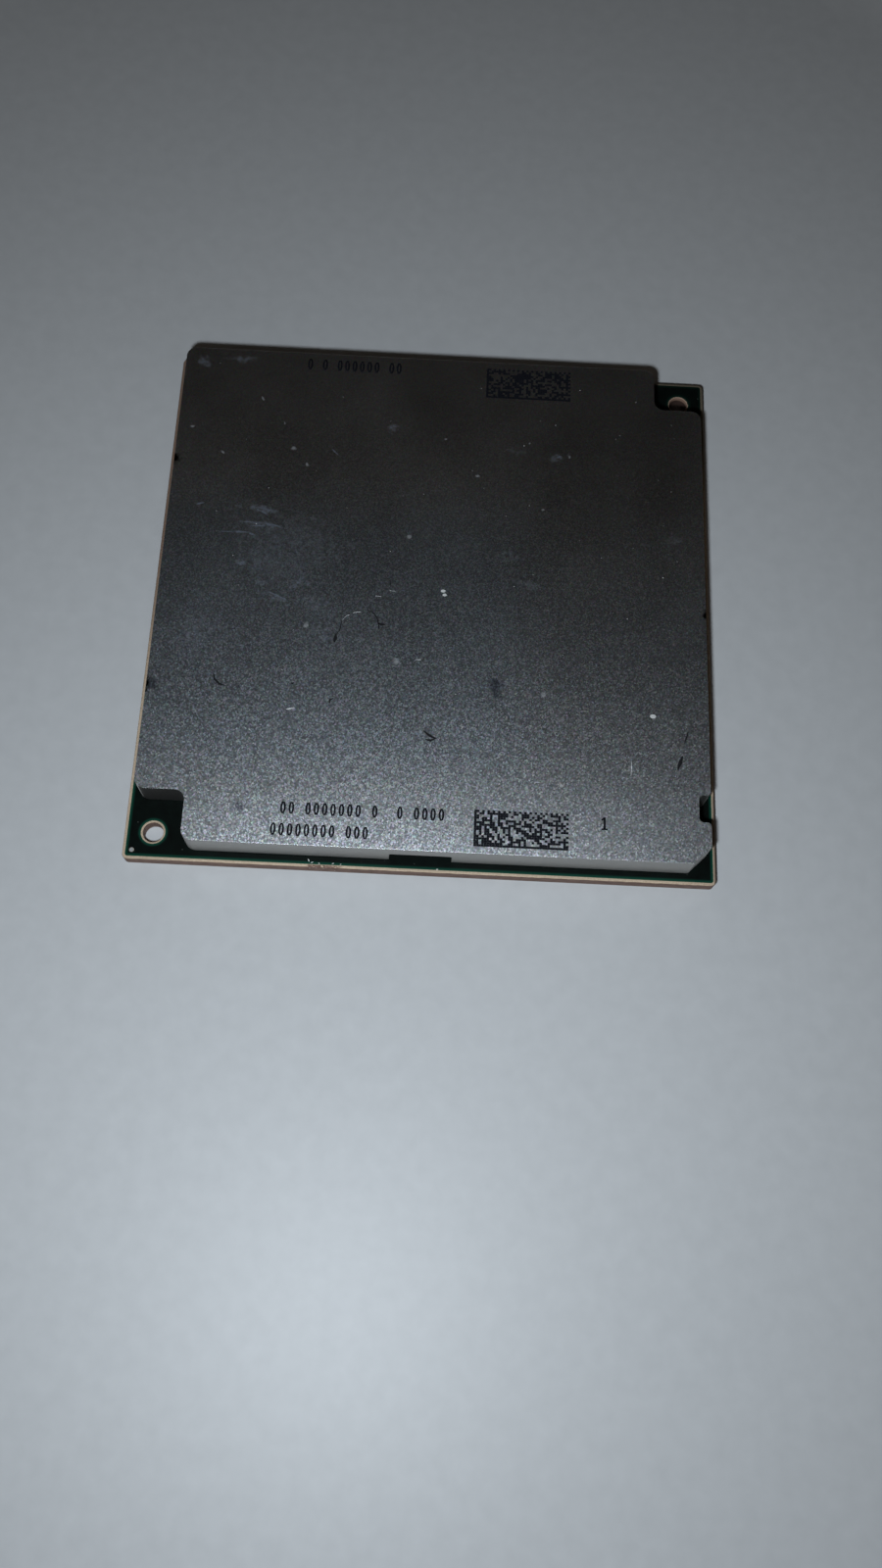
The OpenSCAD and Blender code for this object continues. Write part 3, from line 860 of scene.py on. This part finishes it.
def grid_of(tree, columns, rows, step_x, step_y):
    """A flat grid of points, with those steps between them, round the middle."""
    wide = times(tree, calc(tree, "SUBTRACT", columns, 1.0), step_x)
    deep = times(tree, calc(tree, "SUBTRACT", rows, 1.0), step_y)
    sizes = {"Size X": wide, "Size Y": deep, "Vertices X": columns, "Vertices Y": rows}
    return add(tree, "GeometryNodeMeshGrid", sizes).outputs["Mesh"]


def place_of(tree):
    """The place of each point."""
    return add(tree, "GeometryNodeInputPosition").outputs[0]


def copies(tree, points, shape, **options):
    """Sets a copy of a shape at each point."""
    values = {"Points": points, "Instance": shape, **options}
    return add(tree, "GeometryNodeInstanceOnPoints", values).outputs[0]


def moved(tree, geometry, **change):
    """Moves, turns or stretches a shape."""
    return add(tree, "GeometryNodeTransform", {"Geometry": geometry, **change}).outputs[0]


def joined(tree, *parts):
    """Several shapes as one."""
    made = add(tree, "GeometryNodeJoinGeometry")
    for part in parts:
        tree.links.new(part, made.inputs[0])
    return made.outputs[0]


print("helpers for shapes: arrow, grid_of, place_of, copies, moved, joined")

# %% [markdown]
# Mask between the lands
# On the land side the mask runs between the lands and leaves a round opening at each, a little wider than
# the land. Cutting 1288 holes with booleans would be slow. Instead the tree sets a circle at every land,
# adds the window's outline, and fills the lot as one flat figure with holes, which is then given its
# thickness.

# %% The rule for the openings
tree, given = rule("mask_openings", {"Outline": "Geometry", "Lands": "Int", "Pitch": "Float",
                                     "Opening": "Float", "Step": "Float", "Thickness": "Float",
                                     "Sides": "Int"})
centres = grid_of(tree, given["Lands"], given["Lands"], given["Pitch"], given["Pitch"])
at_guide = over_corner(tree, place_of(tree), given["Step"])
centres = add(tree, "GeometryNodeDeleteGeometry", {"Geometry": centres, "Selection": at_guide}).outputs[0]
circle = add(tree, "GeometryNodeCurvePrimitiveCircle",
             {"Resolution": given["Sides"], "Radius": times(tree, given["Opening"], 0.5)}).outputs["Curve"]
openings = copies(tree, centres, circle)
openings = add(tree, "GeometryNodeRealizeInstances", {"Geometry": openings}).outputs[0]
window = add(tree, "GeometryNodeMeshToCurve", {"Mesh": given["Outline"]}).outputs[0]
figure = add(tree, "GeometryNodeFillCurve",
             {"Curve": joined(tree, openings, window)}, mode="TRIANGLES").outputs[0]
upwards = {"Offset": arrow(tree, Z=given["Thickness"]), "Offset Scale": 1.0, "Individual": False}
raised = add(tree, "GeometryNodeExtrudeMesh", {"Mesh": figure, **upwards}).outputs["Mesh"]
underside = add(tree, "GeometryNodeFlipFaces", {"Mesh": figure}).outputs[0]
sewn = add(tree, "GeometryNodeMergeByDistance",
           {"Geometry": joined(tree, raised, underside), "Distance": WELD_GAP}).outputs[0]
close(tree, sewn, lacquer)
print("nodes in the rule:", len(tree.nodes))

# %% Fill the window between the lands
OPENING = 0.86 * MM
OPENING_SIDES = 20
WINDOW = LAND_COUNT / 2 * LAND_PITCH
STEP = WINDOW - 2 * LAND_PITCH
bends = [(-STEP, -WINDOW), (WINDOW, -WINDOW), (WINDOW, STEP), (STEP, STEP),
         (STEP, WINDOW), (-WINDOW, WINDOW), (-WINDOW, -STEP), (-STEP, -STEP)]
sides = [(i, (i + 1) % len(bends)) for i in range(len(bends))]
outline = bpy.data.meshes.new("window")
outline.from_pydata([(x, y, 0) for x, y in bends], sides, [])
land_mask = grow("mask_between_lands", tree, outline, Lands=LAND_COUNT, Pitch=LAND_PITCH, Opening=OPENING,
                 Step=STEP, Thickness=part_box("bottom_solder_mask")[1].z, Sides=OPENING_SIDES)
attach(land_mask, "root")

# %% [markdown]
# Laser marks
# A laser blackened the nickel in two square-cell codes, three rows of blank noughts and one index numeral.
# They are films about a hundredth of a millimetre thick, set into the lid's top and a hair proud of it.
# Colour alone on the lid would do for a picture, but films of their own can be seen in the mesh and coated
# as any piece is.

# %% The laser's black
FILM_SUNK = 0.01 * MM
FILM_PROUD = 0.002 * MM
FILM = FILM_SUNK + FILM_PROUD
FILM_MIDDLE = LID_TOP + FILM_PROUD - FILM / 2
BURN_DARK, BURN_PALE = (0.004, 0.004, 0.006), (0.014, 0.015, 0.02)
black, tree, shader = finish("laser_black", Specular_IOR_Level=0.06)
speckle = shared(tree, grain, Size=0.07 * MM, Contrast=3.0)
wire(tree, shader, Base_Color=blend(tree, speckle, BURN_DARK, BURN_PALE),
     Roughness=between(tree, speckle, 0.5, 0.7))
relief(tree, shader, speckle, 0.006 * MM, 0.4)
print("films stand", FILM_PROUD / MM, "mm proud")

# %% [markdown]
# Square-cell codes
# The codes' squares are drawn by chance from a seed, inside a solid border on two sides and a dotted one
# on the others, so they say nothing. Each is a hair smaller than its cell, so that no two squares share a
# wall.

# %% The rule for the squares
TILE_SHARE = (0.985, 0.985, 1)
tree, given = rule("code_squares", {"Columns": "Int", "Rows": "Int", "Square": "Vector", "Film": "Float",
                                    "Filled": "Float", "Seed": "Int", "Centre": "Vector"})
square = split(tree, given["Square"])
at = split(tree, place_of(tree))


def number_of(tree, offset, size, last):
    """The whole number of a column or row, from its place."""
    return calc(tree, "ROUND", calc(tree, "ADD", calc(tree, "DIVIDE", offset, size), times(tree, last, 0.5)))


last_column = calc(tree, "SUBTRACT", given["Columns"], 1.0)
last_row = calc(tree, "SUBTRACT", given["Rows"], 1.0)
column = number_of(tree, at["X"], square["X"], last_column)
row = number_of(tree, at["Y"], square["Y"], last_row)
solid_side = logic(tree, "OR", compare(tree, "LESS_THAN", column, 0.5), compare(tree, "LESS_THAN", row, 0.5))
far_column = compare(tree, "GREATER_THAN", column, calc(tree, "SUBTRACT", last_column, 0.5))
far_row = compare(tree, "GREATER_THAN", row, calc(tree, "SUBTRACT", last_row, 0.5))
dotted_side = logic(tree, "OR", far_column, far_row)
even = compare(tree, "LESS_THAN", calc(tree, "MODULO", calc(tree, "ADD", column, row), 2.0), 0.5)
drawn = by_share(tree, given["Filled"], given["Seed"])
drawn = logic(tree, "AND", logic(tree, "NOT", dotted_side), drawn)
filled = logic(tree, "OR", logic(tree, "AND", dotted_side, even), drawn)
filled = logic(tree, "OR", solid_side, filled)
cell = arrow(tree, X=square["X"], Y=square["Y"], Z=given["Film"])
tile_size = vector_calc(tree, "MULTIPLY", cell, TILE_SHARE)
tile = add(tree, "GeometryNodeMeshCube", {"Size": tile_size}).outputs["Mesh"]
points = grid_of(tree, given["Columns"], given["Rows"], square["X"], square["Y"])
placed = copies(tree, points, tile, Selection=filled)
close(tree, moved(tree, placed, Translation=given["Centre"]), black)
print("nodes in the rule:", len(tree.nodes))

# %% Lay the codes
COLUMNS, ROWS = 36, 16
FILLED = 0.56
CODES = {"code_front": (11, 4.29, 12.14, -23.45, -20.27), "code_back": (29, 4.04, 11.90, 20.14, 23.35)}
for name, (seed, left, right, low, high) in CODES.items():
    code = grow(name, tree, Columns=COLUMNS, Rows=ROWS, Film=FILM, Filled=FILLED, Seed=seed,
                Square=((right - left) / COLUMNS * MM, (high - low) / ROWS * MM, 0),
                Centre=((left + right) / 2 * MM, (low + high) / 2 * MM, FILM_MIDDLE))
    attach(code, "root")

# %% [markdown]
# Rows of noughts
# Two rows of blank noughts run along the front of the lid and one along its back. Each nought is an
# eight-sided loop with a square-cut stroke. A text object could write them, but a loop repeated along a
# line is lighter, and a seed can skip a few, which leaves gaps between groups.

# %% The rule for the noughts
tree, given = rule("row_of_noughts", {"Count": "Int", "Pitch": "Float", "Nought": "Vector", "Stroke": "Float",
                                      "Film": "Float", "Kept": "Float", "Seed": "Int", "Start": "Vector"})
LOOP_SIDES = 8
# To the corners of a loop that is one unit wide across its flats
LOOP_RADIUS = 0.541
steps = {"Count": given["Count"], "Start Location": given["Start"], "Offset": arrow(tree, X=given["Pitch"])}
points = add(tree, "GeometryNodeMeshLine", steps).outputs[0]
circle = add(tree, "GeometryNodeCurvePrimitiveCircle",
             {"Resolution": LOOP_SIDES, "Radius": LOOP_RADIUS}).outputs["Curve"]
loop = moved(tree, circle, Rotation=(0, 0, math.pi / LOOP_SIDES))
loop = moved(tree, loop, Scale=given["Nought"])
nib = add(tree, "GeometryNodeCurvePrimitiveQuadrilateral",
          {"Width": given["Stroke"], "Height": given["Film"]}).outputs[0]
nought = add(tree, "GeometryNodeCurveToMesh", {"Curve": loop, "Profile Curve": nib}).outputs[0]
close(tree, copies(tree, points, nought, Selection=by_share(tree, given["Kept"], given["Seed"])), black)
print("nodes in the rule:", len(tree.nodes))

# %% Lay the noughts
PITCH = 0.69
STROKE = 0.17
NOUGHT_WIDTH = 0.46
KEPT = 0.88
NOUGHT_ROWS = {"noughts_front_long": (3, -12.45, 1.9, -21.42, -20.34),
               "noughts_front_short": (5, -12.45, -3.83, -23.31, -22.22),
               "noughts_back": (7, -12.69, -3.72, 22.22, 23.42)}
for name, (seed, left, right, low, high) in NOUGHT_ROWS.items():
    row = grow(name, tree, Count=round((right - left) / PITCH), Pitch=PITCH * MM, Kept=KEPT, Seed=seed,
               Nought=((NOUGHT_WIDTH - STROKE) * MM, (high - low - STROKE) * MM, 1.0),
               Stroke=STROKE * MM, Film=FILM,
               Start=((left + NOUGHT_WIDTH / 2) * MM, (low + high) / 2 * MM, FILM_MIDDLE))
    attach(row, "root")

# %% [markdown]
# Thin strokes
# The index numeral, dark hairs of lint and short bright scratches are all narrow strokes that lie on the
# lid. A curve with a bevel would be round and stand up from it. So each is drawn as a line of points and
# given a width and a film's thickness in plain mesh code, with tapered ends where it is a hair or a
# scratch.

# %% Stroke helpers
def stroke(solid, points, width, taper=1.0):
    """Adds one flat stroke along points in mm, with ends as wide as taper times the middle."""
    path = [Vector((x, y, 0)) * MM for x, y in points]
    last = len(path) - 1
    rings = []
    for i, here in enumerate(path):
        run = (path[min(i + 1, last)] - path[max(i - 1, 0)]).normalized()
        half = width * MM / 2 * (taper if i in (0, last) else 1.0)
        side = Vector((-run.y, run.x, 0)) * half
        ring = []
        for edge, level in ((-side, -FILM_SUNK), (side, -FILM_SUNK), (side, FILM_PROUD), (-side, FILM_PROUD)):
            ring.append(solid.verts.new(here + edge + Vector((0, 0, LID_TOP + level))))
        rings.append(ring)
    for a, b in zip(rings, rings[1:]):
        for k in range(4):
            solid.faces.new((a[k], a[(k + 1) % 4], b[(k + 1) % 4], b[k]))
    solid.faces.new(reversed(rings[0]))
    solid.faces.new(rings[-1])


def piece_of(name, solid, material):
    """Turns mesh code into a piece that rides with the module."""
    bmesh.ops.recalc_face_normals(solid, faces=solid.faces)
    mesh = bpy.data.meshes.new(name)
    solid.to_mesh(mesh)
    solid.free()
    mesh.materials.append(material)
    made = bpy.data.objects.new(name, mesh)
    scene.collection.objects.link(made)
    print(name, len(mesh.polygons), "faces")
    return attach(made, "root")


print("helpers for strokes: stroke, piece_of")

# %% The index numeral
numeral = bmesh.new()
stroke(numeral, [(15.12, -21.44), (15.12, -20.42)], 0.19)
stroke(numeral, [(15.10, -20.46), (14.88, -20.68)], 0.14)
stroke(numeral, [(14.86, -21.46), (15.38, -21.46)], 0.14)
piece_of("index_numeral", numeral, black)

# %% [markdown]
# Lint and scratches
# Dark hairs of lint lie on the lid, and short scratches show bright metal. A hair system would do for
# many, but these few are known one by one, so each is a stroke through measured points, with its width.

# %% Where the hairs and scratches are
HAIRS = [([(-18.41, -9.15), (-18.29, -9.64), (-17.80, -10.10), (-17.42, -10.16)], 0.19),
         ([(-8.22, -4.84), (-8.27, -5.30), (-8.33, -5.65)], 0.34),
         ([(-7.79, -3.51), (-7.86, -3.88), (-7.95, -4.53), (-8.22, -4.84)], 0.09),
         ([(-5.72, -2.37), (-5.17, -2.60), (-4.76, -3.09), (-4.67, -3.42),
           (-4.56, -4.00), (-4.62, -4.34)], 0.11),
         ([(-4.67, -3.62), (-4.35, -3.74), (-4.03, -3.72)], 0.26),
         ([(-0.25, -13.45), (0.29, -13.89), (0.79, -14.11), (0.39, -14.33), (-0.06, -14.23)], 0.24),
         ([(-11.79, -9.69), (-11.60, -9.70), (-11.50, -9.61)], 0.18),
         ([(-8.04, -10.88), (-8.33, -11.06), (-8.35, -11.38)], 0.20),
         ([(-3.82, 0.65), (-3.78, 0.30), (-3.71, -0.03)], 0.10),
         ([(21.72, -14.64), (21.54, -15.20), (21.29, -15.90)], 0.34),
         ([(22.25, -12.40), (22.08, -12.95), (21.91, -13.50)], 0.16)]
SCRATCHES = [([(-7.79, -3.51), (-7.43, -3.06), (-7.14, -2.92)], 0.045),
             ([(-6.87, -2.73), (-6.24, -2.61)], 0.15),
             ([(-11.97, -12.11), (-11.62, -12.04), (-11.27, -11.94)], 0.17),
             ([(-1.22, -6.93), (-0.77, -6.90)], 0.18),
             ([(-3.84, -0.39), (-3.30, -0.44)], 0.10),
             ([(-5.0, -0.98), (-4.5, -1.02)], 0.10),
             ([(17.37, -15.35), (17.40, -15.90), (17.34, -16.65)], 0.08)]
print(len(HAIRS), "hairs and", len(SCRATCHES), "scratches")

# %% Lay the hairs and scratches
HAIR_TAPER = 0.35


def speckled(name, size, contrast, dark, pale, **constants):
    """A finish whose colour goes from dark to pale by a fine grain."""
    material, tree, shader = finish(name, **constants)
    mottle = shared(tree, grain, Size=size * MM, Contrast=contrast)
    wire(tree, shader, Base_Color=blend(tree, mottle, dark, pale))
    return material


lint = speckled("dark_lint", 0.1, 2.0, (0.006, 0.006, 0.007), (0.02, 0.02, 0.022),
                Roughness=0.8, Specular_IOR_Level=0.15)
bright = speckled("bright_scratch", 0.12, 3.0, (0.25, 0.25, 0.255), (0.86, 0.87, 0.88), Roughness=0.6)
for name, strokes, material in (("lid_lint", HAIRS, lint), ("lid_scratches", SCRATCHES, bright)):
    bunch = bmesh.new()
    for points, width in strokes:
        stroke(bunch, points, width, HAIR_TAPER)
    piece_of(name, bunch, material)

# %% [markdown]
# Dust flakes
# Pale flakes of dust lie on the lid and show most at its dark back. A tree scatters points over the lid's
# top by a seed and sets a tiny six-sided flake at each, turned and stretched by chance. Points over the
# two cut-out corners are left out, because there is no lid there.

# %% Scatter dust on the lid
FULL_TURN = 6.283
flake_white = speckled("pale_dust", 0.08, 2.0, (0.45, 0.45, 0.44), (0.80, 0.80, 0.78), Roughness=0.85)
tree, given = rule("dust_flakes", {"Reach": "Float", "Notch": "Float", "Density": "Float",
                                   "Smallest": "Float", "Largest": "Float", "Seed": "Int",
                                   "Film": "Float", "Level": "Float"})
scatter = {"Mesh": grid_of(tree, 2, 2, given["Reach"], given["Reach"]), "Density": given["Density"],
           "Seed": given["Seed"]}
points = add(tree, "GeometryNodeDistributePointsOnFaces", scatter).outputs["Points"]
on_lid = logic(tree, "NOT", over_corner(tree, place_of(tree), given["Notch"]))
seeds = [calc(tree, "ADD", given["Seed"], more) for more in (2.0, 3.0, 4.0)]
turn = arrow(tree, Z=by_chance(tree, 0.0, FULL_TURN, seeds[0]))
wide, deep = [by_chance(tree, given["Smallest"], given["Largest"], seed) for seed in seeds[1:]]
flake = add(tree, "GeometryNodeMeshCylinder", {"Vertices": 6, "Radius": 0.5, "Depth": given["Film"]})
placed = copies(tree, points, flake.outputs["Mesh"], Selection=on_lid, Rotation=turn,
                Scale=arrow(tree, X=wide, Y=deep, Z=1.0))
close(tree, moved(tree, placed, Translation=arrow(tree, Z=given["Level"])), flake_white)
flakes = grow("dust_flakes", tree, Reach=46 * MM, Notch=19 * MM, Density=0.035e6, Smallest=0.03 * MM,
              Largest=0.10 * MM, Seed=4, Film=FILM, Level=FILM_MIDDLE)
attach(flakes, "root")

# %% [markdown]
# Larger specks
# Three crumbs of dust are big enough to be known one by one. Chance would not put them in their places, so
# each is a flat crumb with eight sides, made in mesh code: its middle, half length and half width in
# millimetres.

# %% Lay the specks
SPECKS = [(0.88, -0.18, 0.22, 0.15), (1.02, -0.56, 0.20, 0.14), (19.25, -11.14, 0.27, 0.20)]
SPECK_SIDES = 8


def prism(solid, rim, low, high):
    """Adds a flat shape with the rim's outline, between two levels."""
    lower = [solid.verts.new(point + Vector((0, 0, low))) for point in rim]
    upper = [solid.verts.new(point + Vector((0, 0, high))) for point in rim]
    solid.faces.new(reversed(lower))
    solid.faces.new(upper)
    for k in range(len(rim)):
        after = (k + 1) % len(rim)
        solid.faces.new((lower[k], lower[after], upper[after], upper[k]))


crumbs = bmesh.new()
for x, y, wide, deep in SPECKS:
    angles = [2 * math.pi * k / SPECK_SIDES for k in range(SPECK_SIDES)]
    rim = [Vector((x + wide * math.cos(angle), y + deep * math.sin(angle), 0)) * MM for angle in angles]
    prism(crumbs, rim, LID_TOP - FILM_SUNK, LID_TOP + FILM_PROUD)
piece_of("lid_specks", crumbs, flake_white)

# %% [markdown]
# Shards at the chip
# Where the front edge is chipped, a few pale shards of resin still lie on the mask, and one more lies
# further right. A scatter would spread them evenly, so each is placed one by one: a flat sliver with four
# uneven sides, its middle, length and width in millimetres, and its turn in degrees.

# %% Lay the shards
SHARDS = [(1.46, -24.70, 0.20, 0.11, 10), (-9.35, -24.42, 0.10, 0.30, 25), (-9.05, -24.60, 0.26, 0.09, 20),
          (-8.45, -24.66, 0.16, 0.09, -30), (-7.30, -24.62, 0.20, 0.08, 35), (-6.65, -24.66, 0.14, 0.07, 5)]
SHARD_CORNERS = [(-0.5, -0.2), (0.1, -0.5), (0.5, 0.1), (-0.1, 0.5)]
SHARD_SUNK = 0.002 * MM
SHARD_THICK = 0.03 * MM
slivers = bmesh.new()
for x, y, long, wide, turn in SHARDS:
    angle = math.radians(turn)
    rim = []
    for u, v in SHARD_CORNERS:
        corner_x = x + math.cos(angle) * u * long - math.sin(angle) * v * wide
        corner_y = y + math.sin(angle) * u * long + math.cos(angle) * v * wide
        rim.append(Vector((corner_x, corner_y, 0)) * MM)
    prism(slivers, rim, mask_high.z - SHARD_SUNK, mask_high.z + SHARD_THICK)
piece_of("resin_shards", slivers, flake_white)
